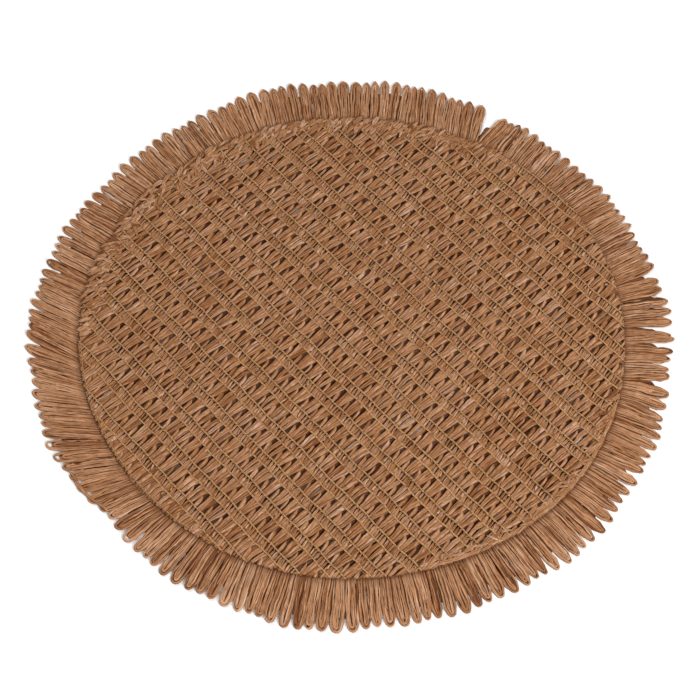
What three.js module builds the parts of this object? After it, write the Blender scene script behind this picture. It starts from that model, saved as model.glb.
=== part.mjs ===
// A round table mat of paper cord, lying flat on z = 0.
// The woven disc has a turned hem and pairs of stitched rows that stand up as ribs.
// A looped fringe on a narrow heading comes out from under the hem.
// Millimetres, +Z up, origin at the middle of the underside.

import * as THREE from 'three';

// woven disc
const discRadius = 178.1;
const sheetThickness = 1.9;
const edgeSides = 72;

// the disc is not quite round: waves added to its radius
const edgeWaves = [
  { count: 1, height: 1.0, phase: -43 },
  { count: 2, height: 1.1, phase: 53 },
  { count: 3, height: 0.5, phase: 123 },
  { count: 5, height: 0.8, phase: 169 },
];

// stitched rows, in pairs, all parallel: half-widths and height of their ribs
const acrossRowsAngle = 43.3;
const rowRepeat = 18.75;
const firstRow = -9.7;
const pairGap = 6.3;
const pairsEachSide = 10;
const outermostRowInset = 5;
const tallRib = { foot: 0.95, crest: 0.4, height: 0.8 };
const lowRib = { foot: 0.85, crest: 0.3, height: 0.5 };

// openings between the pairs, at twice the pitch of the weave
const opening = {
  pitch: 18.8,
  shift: 3.0,
  from: 1.8,
  fork: 6.2,
  to: 11.0,
  mouth: 2.6,
  slitAbove: 2.0,
  slitBelow: 0.7,
  drift: 0.4,
  edgeInset: 13,
};

// hem, turned under along the edge and lying over the fringe heading
const hem = { width: 9.3, underside: 1.1, tuck: 0.6 };

// fringe heading, hidden under the hem
const heading = { inner: 8.6, outer: 2.4, thickness: 0.8 };

// fringe loops, each one lock of four sides
const lockCount = 168;
const lockThickness = 1.7;
const lockLengthSpread = 1.3;
const lockLeanSpread = 1.6;
const lockTopShare = 0.55;

// how far the tips reach and how far they lean round the mat, read between the rows
const fringeCourse = [
  { angle: 0, reach: 209.5, lean: 0 },
  { angle: 14, reach: 208.0, lean: 10 },
  { angle: 35, reach: 207.0, lean: 3 },
  { angle: 56, reach: 208.0, lean: 4 },
  { angle: 63, reach: 206.0, lean: -6 },
  { angle: 64.5, reach: 208.5, lean: 14 },
  { angle: 75, reach: 211.5, lean: 8 },
  { angle: 90, reach: 209.5, lean: 0 },
  { angle: 108, reach: 211.0, lean: -3 },
  { angle: 133, reach: 206.8, lean: -2 },
  { angle: 155, reach: 208.5, lean: -5 },
  { angle: 175, reach: 211.8, lean: -22 },
  { angle: 190, reach: 211.3, lean: -33 },
  { angle: 212, reach: 209.5, lean: -25 },
  { angle: 225, reach: 204.5, lean: -15 },
  { angle: 233, reach: 206.5, lean: -3 },
  { angle: 245, reach: 209.8, lean: 0 },
  { angle: 267, reach: 211.5, lean: 0 },
  { angle: 287, reach: 208.0, lean: 0 },
  { angle: 310, reach: 210.3, lean: 0 },
  { angle: 335, reach: 208.5, lean: -2 },
  { angle: 348, reach: 207.5, lean: -5 },
  { angle: 350, reach: 207.5, lean: 8 },
  { angle: 360, reach: 209.5, lean: 0 },
];

// the lock's sections between the hem and the tip
const lockSections = [
  { along: 0.03, width: 0.64, height: 0.47 },
  { along: 0.72, width: 0.84, height: 1.0 },
  { along: 1.0, width: 0.4, height: 0.7 },
];

const materials = {
  weave: new THREE.MeshStandardMaterial({ color: 0xa87a54, roughness: 0.85, metalness: 0 }),
  fringe: new THREE.MeshStandardMaterial({ color: 0xb48660, roughness: 0.8, metalness: 0 }),
};

const radians = THREE.MathUtils.degToRad;

function edgeRadius(angle) {
  let radius = discRadius;
  for (const wave of edgeWaves) {
    radius += wave.height * Math.cos(wave.count * angle - radians(wave.phase));
  }
  return radius;
}

function onCircle(angle, radius, z) {
  return new THREE.Vector3(radius * Math.cos(angle), radius * Math.sin(angle), z);
}

// The weave's own directions: x of a weave point runs along the rows and y across them.
const alongRowsAngle = radians(acrossRowsAngle - 90);

function fromWeave(point, z) {
  const turned = point.clone().rotateAround(new THREE.Vector2(), alongRowsAngle);
  return new THREE.Vector3(turned.x, turned.y, z);
}

function edgeInWeave(angle, inset) {
  const radius = edgeRadius(angle + alongRowsAngle) - inset;
  return new THREE.Vector2(radius * Math.cos(angle), radius * Math.sin(angle));
}

// Where a straight line at this distance from the middle meets the edge.
function lineEnd(across, side) {
  let angle = Math.atan2(across, side * discRadius);
  for (let pass = 0; pass < 8; pass++) {
    const radius = edgeInWeave(angle, 0).length();
    angle = Math.atan2(across, side * Math.sqrt(radius * radius - across * across));
  }
  return new THREE.Vector2(edgeInWeave(angle, 0).x, across);
}

function stitchedRows() {
  const rows = [];
  for (let k = -pairsEachSide; k <= pairsEachSide; k++) {
    const across = firstRow + k * rowRepeat;
    rows.push({ across: across - pairGap, rib: lowRib });
    rows.push({ across, rib: tallRib });
  }
  return rows.filter((row) => Math.abs(row.across) < discRadius - outermostRowInset);
}

const rows = stitchedRows();

// The fold lines of all the ribs, from one side of the disc to the other.
const ribLines = rows.flatMap(({ across, rib }) => [
  across - rib.foot,
  across - rib.crest,
  across + rib.crest,
  across + rib.foot,
]);

function topHeight(across) {
  let height = sheetThickness;
  for (const row of rows) {
    const { foot, crest, height: rise } = row.rib;
    const share = (foot - Math.abs(across - row.across)) / (foot - crest);
    height = Math.max(height, sheetThickness + rise * THREE.MathUtils.clamp(share, 0, 1));
  }
  return height;
}

// The edge of the disc, anticlockwise, with a point at the end of every fold line.
function discEdge() {
  const ends = [
    ...ribLines.map((across) => lineEnd(across, 1)),
    ...ribLines.map((across) => lineEnd(across, -1)).reverse(),
  ];
  const widest = radians(360 / edgeSides);
  return ends.flatMap((end, i) => {
    const next = ends[(i + 1) % ends.length];
    const from = end.angle();
    const turn = (next.angle() - from + 2 * Math.PI) % (2 * Math.PI);
    const steps = Math.ceil(turn / widest);
    const between = [];
    for (let j = 1; j < steps; j++) {
      between.push(edgeInWeave(from + (turn * j) / steps, 0));
    }
    return [end, ...between];
  });
}

// One opening between two pairs of rows: a fork of two slits that meet in a wide mouth.
function openingAt(row, along) {
  const { from, fork, to, mouth, slitAbove, slitBelow, drift } = opening;
  return [
    new THREE.Vector2(along - slitAbove, row + from),
    new THREE.Vector2(along - drift, row + fork),
    new THREE.Vector2(along + slitBelow, row + from),
    new THREE.Vector2(along + mouth / 2, row + to),
    new THREE.Vector2(along - mouth / 2, row + to),
  ];
}

function openings() {
  const holes = [];
  const reach = Math.ceil(discRadius / opening.pitch);
  const farthest = discRadius - opening.edgeInset;
  rows.filter((row) => row.rib === tallRib).forEach((row, k) => {
    for (let j = -reach; j <= reach; j++) {
      const along = opening.shift + (j + (k % 2) / 2) * opening.pitch;
      const corners = openingAt(row.across, along);
      if (corners.every((corner) => corner.length() < farthest)) {
        holes.push(corners);
      }
    }
  });
  return holes;
}

// Gathers points and triangles into one closed skin.
class Skin {
  points = [];
  triangles = [];

  add(points) {
    const first = this.points.length;
    this.points.push(...points);
    return points.map((_, i) => first + i);
  }

  quad(a, b, c, d) {
    this.triangles.push(a, b, c, a, c, d);
  }

  // A wall between two closed loops of the same length, facing right of their direction.
  wall(lower, upper) {
    lower.forEach((_, i) => {
      const j = (i + 1) % lower.length;
      this.quad(lower[i], lower[j], upper[j], upper[i]);
    });
  }

  // A flat face inside one outline and outside the holes, seen from above or from below.
  face(outline, holes, isTop) {
    const ids = [outline, ...holes].flatMap((loop) => loop.ids);
    const flat = holes.map((hole) => hole.weave);
    for (const [a, b, c] of THREE.ShapeUtils.triangulateShape(outline.weave, flat)) {
      const [second, third] = isTop ? [b, c] : [c, b];
      this.triangles.push(ids[a], ids[second], ids[third]);
    }
  }

  geometry() {
    const geometry = new THREE.BufferGeometry().setFromPoints(this.points);
    geometry.setIndex(this.triangles);
    return geometry;
  }
}

function wovenDisc() {
  const skin = new Skin();
  const loop = (weave, heightOf) => ({
    weave,
    ids: skin.add(weave.map((point) => fromWeave(point, heightOf(point)))),
  });

  // top: one strip between each two fold lines, with the openings in the flat ones
  const edge = discEdge();
  const edgeTop = loop(edge, (point) => topHeight(point.y));
  const holes = openings();
  const holesTop = holes.map((corners) => loop(corners, () => sheetThickness));
  const cuts = [-Infinity, ...ribLines, Infinity];
  for (let i = 0; i < cuts.length - 1; i++) {
    const inStrip = ({ y }) => y >= cuts[i] && y <= cuts[i + 1];
    const kept = edge.map((point, j) => j).filter((j) => inStrip(edge[j]));
    const outline = {
      weave: kept.map((j) => edge[j]),
      ids: kept.map((j) => edgeTop.ids[j]),
    };
    skin.face(outline, holesTop.filter((hole) => hole.weave.every(inStrip)), true);
  }

  // hem: the edge turns under and lies over the fringe heading
  const tucked = edge.map((point) => point.clone().setLength(point.length() - hem.tuck));
  const edgeUnder = loop(tucked, () => hem.underside);
  skin.wall(edgeUnder.ids, edgeTop.ids);
  const body = [];
  for (let i = 0; i < edgeSides; i++) {
    body.push(edgeInWeave((i / edgeSides) * 2 * Math.PI, hem.width));
  }
  const bodyHigh = loop(body, () => hem.underside);
  const bodyLow = loop(body, () => 0);
  skin.face(edgeUnder, [bodyHigh], false);
  skin.wall(bodyLow.ids, bodyHigh.ids);

  // underside, flat on the table
  const holesLow = holes.map((corners) => loop(corners, () => 0));
  skin.face(bodyLow, holesLow, false);
  holesTop.forEach((hole, i) => {
    skin.wall(hole.ids, holesLow[i].ids);
  });

  const mesh = new THREE.Mesh(skin.geometry(), materials.weave);
  mesh.name = 'woven_disc';
  return mesh;
}

// A steady, uneven number between -1 and 1 for each lock.
function uneven(index, seed) {
  return Math.sin(index * 12.9898 + seed * 4.1414) * Math.cos(index * 7.233 + seed);
}

function courseAt(degrees, column) {
  const above = fringeCourse.findIndex((row) => row.angle > degrees);
  const high = fringeCourse[above];
  const low = fringeCourse[above - 1];
  const share = (degrees - low.angle) / (high.angle - low.angle);
  return THREE.MathUtils.lerp(low[column], high[column], share);
}

// The angle and radius of each lock's middle line at one share of its length.
function lockCentres(along) {
  const centres = [];
  for (let i = 0; i < lockCount; i++) {
    const degrees = ((i + 0.5) / lockCount) * 360;
    const angle = radians(degrees);
    const start = edgeRadius(angle);
    const reach = courseAt(degrees, 'reach') + lockLengthSpread * uneven(i, 1);
    const lean = radians(courseAt(degrees, 'lean') + lockLeanSpread * uneven(i, 2));
    const radius = THREE.MathUtils.lerp(start, reach, along);
    const sideways = Math.tan(lean) * (radius - start);
    centres.push({ angle: angle + sideways / radius, radius });
  }
  return centres;
}

// Half of each lock's width there, as an angle, from the room that its neighbours leave.
function lockHalfAngles(centres, share) {
  return centres.map((centre, i) => {
    const next = centres[(i + 1) % lockCount].angle + (i === lockCount - 1 ? 2 * Math.PI : 0);
    const last = centres[(i + lockCount - 1) % lockCount].angle - (i === 0 ? 2 * Math.PI : 0);
    const room = Math.min(next - centre.angle, centre.angle - last);
    return (room / 2) * share;
  });
}

function fringe() {
  const skin = new Skin();

  // heading: four points at each side of each lock's root
  const roots = lockCentres(0);
  const rootHalves = lockHalfAngles(roots, lockSections[0].width);
  const stations = roots.flatMap((root, i) => [-1, 1].map((side) => {
    const angle = root.angle + side * rootHalves[i];
    const inner = edgeRadius(angle) - heading.inner;
    const outer = edgeRadius(angle) - heading.outer;
    return skin.add([
      onCircle(angle, inner, 0),
      onCircle(angle, outer, 0),
      onCircle(angle, outer, heading.thickness),
      onCircle(angle, inner, heading.thickness),
    ]);
  }));
  const outerWall = 1;
  stations.forEach((here, s) => {
    const next = stations[(s + 1) % stations.length];
    const isRoot = s % 2 === 0;
    for (let j = 0; j < 4; j++) {
      const k = (j + 1) % 4;
      if (!isRoot || j !== outerWall) {
        skin.quad(here[k], here[j], next[j], next[k]);
      }
    }
  });

  // locks: each grows out of the heading's outer wall and ends in a blunt tip
  const sections = lockSections.map((section) => {
    const centres = lockCentres(section.along);
    const height = lockThickness * section.height;
    return { height, centres, halves: lockHalfAngles(centres, section.width) };
  });
  for (let i = 0; i < lockCount; i++) {
    const low = stations[2 * i];
    const high = stations[2 * i + 1];
    let ring = [low[1], high[1], high[2], low[2]];
    for (const { height, centres, halves } of sections) {
      const { angle, radius } = centres[i];
      const top = halves[i] * lockTopShare;
      const outer = skin.add([
        onCircle(angle - halves[i], radius, 0),
        onCircle(angle + halves[i], radius, 0),
        onCircle(angle + top, radius, height),
        onCircle(angle - top, radius, height),
      ]);
      skin.wall(ring, outer);
      ring = outer;
    }
    skin.quad(...ring);
  }

  const mesh = new THREE.Mesh(skin.geometry(), materials.fringe);
  mesh.name = 'looped_fringe';
  return mesh;
}

const group = new THREE.Group();
group.add(wovenDisc());
group.add(fringe());

// the origin is the middle of the underside of the whole mat
const middle = new THREE.Box3().setFromObject(group).getCenter(new THREE.Vector3());
group.position.set(-middle.x, -middle.y, 0);
group.updateMatrixWorld(true);

export default group;
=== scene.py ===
# round placemat of woven paper strips with stitched rows, a turned hem and a looped fringe;
# lengths are in millimetres until a mesh is made, unless a note says otherwise
import math

import bpy
import numpy as np
from mathutils import Matrix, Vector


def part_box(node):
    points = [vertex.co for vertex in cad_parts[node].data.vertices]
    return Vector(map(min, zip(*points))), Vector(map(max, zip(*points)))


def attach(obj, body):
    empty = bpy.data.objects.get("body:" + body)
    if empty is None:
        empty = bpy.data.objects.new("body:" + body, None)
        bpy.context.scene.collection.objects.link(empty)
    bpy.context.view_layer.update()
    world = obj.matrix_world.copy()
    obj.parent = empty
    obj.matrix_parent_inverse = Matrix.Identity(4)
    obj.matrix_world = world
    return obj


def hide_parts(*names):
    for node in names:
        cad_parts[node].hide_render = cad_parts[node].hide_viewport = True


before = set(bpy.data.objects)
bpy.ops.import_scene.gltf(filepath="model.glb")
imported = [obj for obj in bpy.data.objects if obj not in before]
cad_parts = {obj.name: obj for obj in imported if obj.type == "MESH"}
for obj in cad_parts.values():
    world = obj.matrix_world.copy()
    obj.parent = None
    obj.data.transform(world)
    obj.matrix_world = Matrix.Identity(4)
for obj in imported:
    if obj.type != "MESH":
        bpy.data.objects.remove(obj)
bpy.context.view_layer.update()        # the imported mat, which stays as it is
mm = 0.001
lowest = 0.03            # nothing of the mat lies closer to the floor

# the disc's own outline, in millimetres, as the solids have it
discEdge = {
    "radius": 178.1,
    "waves": [(1, 1.0, -43), (2, 1.1, 53), (3, 0.5, 123), (5, 0.8, 169)],  # count, height, phase
    "acrossRowsAngle": 43.3,       # from +X to the direction across the stitched rows
}


def edgeRadius(angle):
    radius = np.full_like(angle, discEdge["radius"])
    for count, height, phase in discEdge["waves"]:
        radius = radius + height * np.cos(count * angle - math.radians(phase))
    return radius


def pastEdge(x, y):
    # how far a place lies outside the outline, negative inside it
    return np.hypot(x, y) - edgeRadius(np.arctan2(y, x))


def roundMiddle(radius, turn, height):
    # points at these distances and angles from the outline's centre
    return np.stack([radius * np.cos(turn), radius * np.sin(turn), height], -1)


def smoothStep(value):
    value = np.clip(value, 0, 1)
    return value * value * (3 - 2 * value)


def findCentre():
    # the outline's own centre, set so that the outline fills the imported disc's box
    turn = np.linspace(0, 2 * np.pi, 1441)       # a point every quarter of a degree
    radius = edgeRadius(turn)
    x, y = radius * np.cos(turn), radius * np.sin(turn)
    low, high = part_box("woven_disc")
    return np.array([
        (low.x + high.x) / 2 / mm - (x.min() + x.max()) / 2,
        (low.y + high.y) / 2 / mm - (y.min() + y.max()) / 2,
    ])


centre = findCentre()
print("frame loaded, outline centre at", centre.round(2), "mm")


# materials

def linear(hexColour):
    parts = [int(hexColour[i:i + 2], 16) / 255 for i in (1, 3, 5)]
    return [c / 12.92 if c <= 0.04045 else ((c + 0.055) / 1.055) ** 2.4 for c in parts] + [1.0]


def addNode(tree, kind, settings=None, links=None):
    # settings: the node's attributes and socket values; links: socket to another node's output
    node = tree.nodes.new(kind)
    for key, value in (settings or {}).items():
        if isinstance(key, int) or key in node.inputs:
            node.inputs[key].default_value = value
        else:
            setattr(node, key, value)
    for key, output in (links or {}).items():
        tree.links.new(output, node.inputs[key])
    return node


def startMaterial(name):
    material = bpy.data.materials.new(name)
    material.use_nodes = True
    tree = material.node_tree
    tree.nodes.clear()
    return material, tree


def stripInputs(tree):
    # what every strip carries: its flat coordinates, its tone and how open it lies to the light
    uv = addNode(tree, "ShaderNodeUVMap", {"uv_map": "strip"})
    tone = addNode(tree, "ShaderNodeAttribute", {"attribute_name": "tone"})
    openness = addNode(tree, "ShaderNodeAttribute", {"attribute_name": "openness"})
    return uv.outputs[0], tone.outputs["Fac"], openness.outputs["Fac"]


def finishMaterial(tree, look, colour, height):
    bump = addNode(
        tree, "ShaderNodeBump", {"Strength": look["bumpStrength"], "Distance": look["bumpMm"] * mm},
        {"Height": height})
    shader = addNode(
        tree, "ShaderNodeBsdfPrincipled",
        {"Roughness": look["roughness"], "Specular IOR Level": look["specular"]},
        {"Base Color": colour, "Normal": bump.outputs[0]})
    addNode(tree, "ShaderNodeOutputMaterial", {}, {"Surface": shader.outputs[0]})


def setRamp(ramp, stops):
    # stops: position and hex colour, from the darkest to the lightest
    elements = ramp.color_ramp.elements
    while len(elements) < len(stops):
        elements.new(0.5)
    for element, (position, colour) in zip(elements, stops):
        element.position = position
        element.color = linear(colour)


weavePaperLook = {
    # from dark to light; the lightest stops, which the crease ridges reach most, are partly a painted
    # highlight
    "stops": [(0.34, "#794828"), (0.45, "#a7754e"), (0.57, "#b98c69"), (0.72, "#cca68e")],
    "deep": "#4e260d",        # where hardly any light gets in between the strips
    "creaseMm": 1.1,          # creases run along the strip; the real ones are finer and wouldn't show
    "creaseStretch": 8,       # how much longer than wide they are
    "foldShare": 0.08,        # how wide the dark lines along the creases are
    "foldLight": 0.5,         # and how much light is left in them
    "fibreMm": 0.3,
    "fibreStretch": 20,
    "patchMm": 26,            # slow changes of tone over the mat
    "shares": {"tone": 0.24, "creases": 0.46, "fibres": 0.18, "patches": 0.12},      # they add up to one
    "bumpMm": 0.34,
    "bumpStrength": 0.8,
    "fibreBump": 0.35,        # how high the fibres stand beside the creases
    "roughness": 0.6,
    "specular": 0.05,
}
# the under layer, which shows through the holes: the same paper, coloured darker and greyer as painted shade
# for the depths of the holes
shadedBackPaperLook = {
    **weavePaperLook,
    "stops": [(0.3, "#61402a"), (0.6, "#7f6352"), (0.74, "#96827b")],
    "deep": "#4c2612",
}
fringePaperLook = {
    **weavePaperLook,
    "stops": [(0.33, "#764221"), (0.45, "#b5815a"), (0.57, "#c99a75"), (0.72, "#dcb699")],
    "creaseMm": 0.85,
    "creaseStretch": 16,
    "roughness": 0.55,
    "specular": 0.07,
}


def makePaper(name, look):
    # kraft paper strip, folded and crumpled lengthwise: matt tan, with a faint shine along its creases
    material, tree = startMaterial(name)
    uv, tone, openness = stripInputs(tree)
    place = addNode(tree, "ShaderNodeTexCoord").outputs["Object"]

    def streaks(widthMm, stretch, detail):
        grown = addNode(
            tree, "ShaderNodeMapping", {"Scale": (1 / widthMm, 1 / (widthMm * stretch), 1)}, {"Vector": uv})
        noise = addNode(
            tree, "ShaderNodeTexNoise",
            {"Scale": 1.0, "Detail": detail, "Roughness": 0.6, "Distortion": 0.35},
            {"Vector": grown.outputs[0]})
        return noise.outputs[0]

    creases = streaks(look["creaseMm"], look["creaseStretch"], 2.0)
    fibres = streaks(look["fibreMm"], look["fibreStretch"], 1.0)
    patches = addNode(
        tree, "ShaderNodeTexNoise", {"Scale": 1 / (look["patchMm"] * mm), "Detail": 2.0}, {"Vector": place})

    # the strip's own tone with creases, fibres and slow patches round it; the creases, which also raise the
    # bump, make the colour lighter on their ridges and darker between them, partly painted highlight and
    # shade
    sources = {"tone": tone, "creases": creases, "fibres": fibres, "patches": patches.outputs[0]}
    shade = None
    for part, share in look["shares"].items():
        shade = addNode(
            tree, "ShaderNodeMath", {"operation": "MULTIPLY_ADD", 1: share, 2: 0.0},
            {0: sources[part], **({2: shade.outputs[0]} if shade else {})})
    ramp = addNode(tree, "ShaderNodeValToRGB", {}, {0: shade.outputs[0]})
    setRamp(ramp, look["stops"])

    # painted shade: thin dark fold lines, where the creases pass their middle value
    middle = addNode(tree, "ShaderNodeMath", {"operation": "SUBTRACT", 1: 0.5}, {0: creases})
    nearFold = addNode(tree, "ShaderNodeMath", {"operation": "ABSOLUTE"}, {0: middle.outputs[0]})
    flat = addNode(
        tree, "ShaderNodeMapRange", {"From Max": look["foldShare"], "To Min": look["foldLight"]},
        {0: nearFold.outputs[0]})
    # painted shade: where openness and the fold lines leave little light, the colour goes over to the deep
    # colour
    light = addNode(
        tree, "ShaderNodeMath", {"operation": "MULTIPLY"}, {0: openness, 1: flat.outputs[0]})
    colour = addNode(
        tree, "ShaderNodeMix", {"data_type": "RGBA", 6: linear(look["deep"])},
        {0: light.outputs[0], 7: ramp.outputs[0]})

    height = addNode(
        tree, "ShaderNodeMath", {"operation": "MULTIPLY_ADD", 1: look["fibreBump"]}, {0: fibres, 2: creases})
    finishMaterial(tree, look, colour.outputs[2], height.outputs[0])
    return material


stitchThreadLook = {
    "stops": [(0.1, "#4c2b13"), (0.5, "#9b7148"), (1.0, "#b48a5d")],
    "plyMm": 2.4,             # from ply to ply along the thread, coarser than the real twist so that it shows
    "plyShare": 0.4,          # how much the plies change the tone
    "bumpMm": 0.1,
    "bumpStrength": 0.4,
    "roughness": 0.65,
    "specular": 0.25,
}
bandLength = 0.628            # from band to band of the slanting wave texture when its scale is 1


def makeThread(name, look):
    # spun paper thread: round and knotty, a little lighter and yellower than the strips
    material, tree = startMaterial(name)
    uv, tone, openness = stripInputs(tree)
    plies = addNode(
        tree, "ShaderNodeTexWave",
        {"wave_type": "BANDS", "bands_direction": "DIAGONAL", "Scale": bandLength / look["plyMm"],
         "Distortion": 0.6},
        {"Vector": uv})
    shade = addNode(
        tree, "ShaderNodeMath", {"operation": "MULTIPLY_ADD", 1: look["plyShare"]},
        {0: plies.outputs[1], 2: tone})
    shaded = addNode(tree, "ShaderNodeMath", {"operation": "MULTIPLY"}, {0: shade.outputs[0], 1: openness})
    ramp = addNode(tree, "ShaderNodeValToRGB", {}, {0: shaded.outputs[0]})
    setRamp(ramp, look["stops"])
    finishMaterial(tree, look, ramp.outputs[0], plies.outputs[1])
    return material


weavePaper = makePaper("crumpled_weave_paper", weavePaperLook)
# painted shade: the under layer's paper is darker and greyer than the weave's
shadedBackPaper = makePaper("back_paper_painted_shade", shadedBackPaperLook)
fringePaper = makePaper("crumpled_fringe_paper", fringePaperLook)
stitchThread = makeThread("spun_paper_thread", stitchThreadLook)
print("materials made")


# strips and threads as meshes, made from arrays of cross sections

creaseStep, creaseSpan = 7.31, 97      # mm between two strips' places in the creases, so that none share them


def makeTubes(name, groups, material):
    # each group: points (strips, stations, sides, xyz) in millimetres from the outline's centre, half
    # widths, tones and how open each point lies to the light
    allPoints, allCorners, allUvs, allTones, allOpenness, allSizes = [], [], [], [], [], []
    offset = 0
    for points, halfWidths, tones, openness in groups:
        count, stations, sides, _ = points.shape
        steps = np.linalg.norm(np.diff(points.mean(2), axis=1), axis=2)
        along = np.concatenate([np.zeros((count, 1)), np.cumsum(steps, 1)], 1)
        along += (np.arange(count) * creaseStep % creaseSpan)[:, None]
        ids = offset + np.arange(count * stations * sides).reshape(count, stations, sides)
        near, far = ids[:, :-1], ids[:, 1:]
        quads = np.stack([near, np.roll(near, -1, 2), np.roll(far, -1, 2), far], -1).reshape(-1, 4)
        caps = np.concatenate([ids[:, 0, ::-1], ids[:, -1, :]])
        girth = 4.0 * halfWidths                # once round a flat strip
        sideMm = (girth / sides)[:, None, None] * np.ones(near.shape)
        left = np.arange(sides) * sideMm
        right = left + sideMm
        here = along[:, :-1, None] * np.ones(near.shape)
        there = along[:, 1:, None] * np.ones(near.shape)
        corners = [(left, here), (right, here), (right, there), (left, there)]
        uvs = np.stack([np.stack(corner, -1) for corner in corners], 3).reshape(-1, 2)
        allPoints.append(points.reshape(-1, 3))
        allCorners += [quads.ravel(), caps.ravel()]
        allUvs += [uvs, np.zeros((caps.size, 2))]
        allTones.append(np.repeat(tones, stations * sides))
        allOpenness.append(np.broadcast_to(openness, ids.shape).ravel())
        allSizes += [np.full(len(quads), 4), np.full(len(caps), sides)]
        offset += count * stations * sides
    world = np.concatenate(allPoints)
    world[:, :2] += centre
    sizes = np.concatenate(allSizes)
    corners = np.concatenate(allCorners)
    mesh = bpy.data.meshes.new(name)
    mesh.vertices.add(len(world))
    mesh.vertices.foreach_set("co", (world * mm).ravel())
    mesh.loops.add(len(corners))
    mesh.loops.foreach_set("vertex_index", corners.astype(np.int32))
    mesh.polygons.add(len(sizes))
    mesh.polygons.foreach_set("loop_start", (np.cumsum(sizes) - sizes).astype(np.int32))
    mesh.polygons.foreach_set("use_smooth", np.ones(len(sizes), bool))
    mesh.update(calc_edges=True)
    mesh.uv_layers.new(name="strip").data.foreach_set("uv", np.concatenate(allUvs).ravel())
    for key, values in (("tone", allTones), ("openness", allOpenness)):
        mesh.attributes.new(key, "FLOAT", "POINT").data.foreach_set("value", np.concatenate(values))
    mesh.materials.append(material)
    piece = bpy.data.objects.new(name, mesh)
    bpy.context.scene.collection.objects.link(piece)
    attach(piece, "root")
    print(f"{name}: {int((sizes - 2).sum())} triangles")
    return piece


# cross sections seen end on: across, up and openness to the light, which puts painted shade in the colour at
# the edges and below; each strip is creased on its own
foldedSection = np.array([
    (-1.0, -0.3, 0.1), (-0.88, 0.62, 0.85), (-0.5, 1.0, 1.0), (-0.04, 0.5, 0.5), (0.36, 1.0, 1.0),
    (0.86, 0.74, 0.85), (1.0, -0.2, 0.1), (0.6, -0.9, 0.7), (-0.6, -0.9, 0.7),
])
broadSection = np.array([
    (-1.0, -0.3, 0.12), (-0.84, 0.62, 0.85), (-0.48, 1.0, 1.0), (-0.06, 0.4, 0.25), (0.32, 1.0, 1.0),
    (0.83, 0.7, 0.85), (1.0, -0.2, 0.12), (0.6, -0.9, 0.7), (-0.6, -0.9, 0.7),
])
broadFold = 3                 # the point of it that lies at the bottom of the middle fold
strandSection = np.array([
    (-1.0, -0.3, 0.1), (-0.8, 0.55, 0.8), (-0.45, 1.0, 1.0), (-0.04, 0.6, 0.6), (0.36, 1.0, 1.0),
    (0.8, 0.6, 0.8), (1.0, -0.2, 0.1), (0.6, -0.9, 0.7), (-0.6, -0.9, 0.7),
])
thinSection = np.array([
    (-1.0, 0.0, 0.25), (-0.45, 0.9, 1.0), (0.3, 1.0, 1.0), (1.0, 0.0, 0.25), (0.4, -0.8, 0.7),
    (-0.4, -0.8, 0.7),
])
roundSection = np.array([
    (1.0, 0.0, 0.85), (0.31, 0.95, 1.0), (-0.81, 0.59, 1.0), (-0.81, -0.59, 0.8), (0.31, -0.95, 0.8),
])
# the fold down a strip's middle: which points are part of it, how aslant it runs and how far it may go
middleFold = {"within": 0.6, "slant": 0.3, "limit": 0.8}


def sweep(path, halfWidth, halfHeight, section, rng, crease=0.0, roll=None):
    # path: plan x, y and height of every station; the section is carried along it and creased
    count, stations, _ = path.shape
    ahead = np.gradient(path[..., :2], axis=1)
    ahead /= np.maximum(np.linalg.norm(ahead, axis=2, keepdims=True), 1e-9)
    side = np.stack([-ahead[..., 1], ahead[..., 0], np.zeros((count, stations))], -1)
    up = np.zeros_like(side)
    up[..., 2] = 1
    if roll is not None:
        cosRoll, sinRoll = np.cos(roll)[..., None], np.sin(roll)[..., None]
        side, up = side * cosRoll + up * sinRoll, up * cosRoll - side * sinRoll
    across = -section[:, 0] * np.ones((count, stations, 1))
    rise = section[:, 1] * np.ones((count, stations, 1))
    if crease:
        # some folds are lower all along, and each station differs a little in height and width
        rise = rise * (1 - crease * rng.random((count, 1, len(section))))
        rise = rise * (1 + crease * (rng.random(rise.shape) - 0.5) / 2)
        across = across * (1 + crease * (rng.random((count, stations, 1)) - 0.5) / 3)
        inner = (np.abs(section[:, 0]) < middleFold["within"]) & (section[:, 1] > 0)
        slant = rng.normal(0, middleFold["slant"], (2, count, 1, 1))
        slant = slant[0] + slant[1] * np.linspace(-1, 1, stations)[:, None]
        moved = np.clip(across + crease * 2 * slant, -middleFold["limit"], middleFold["limit"])
        across = np.where(inner, moved, across)
    return (
        path[:, :, None, :]
        + side[:, :, None, :] * (across * halfWidth[..., None])[..., None]
        + up[:, :, None, :] * (rise * halfHeight[..., None])[..., None]
    )


# the woven disc, in weave space: along the stitched rows, across them, and height

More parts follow.
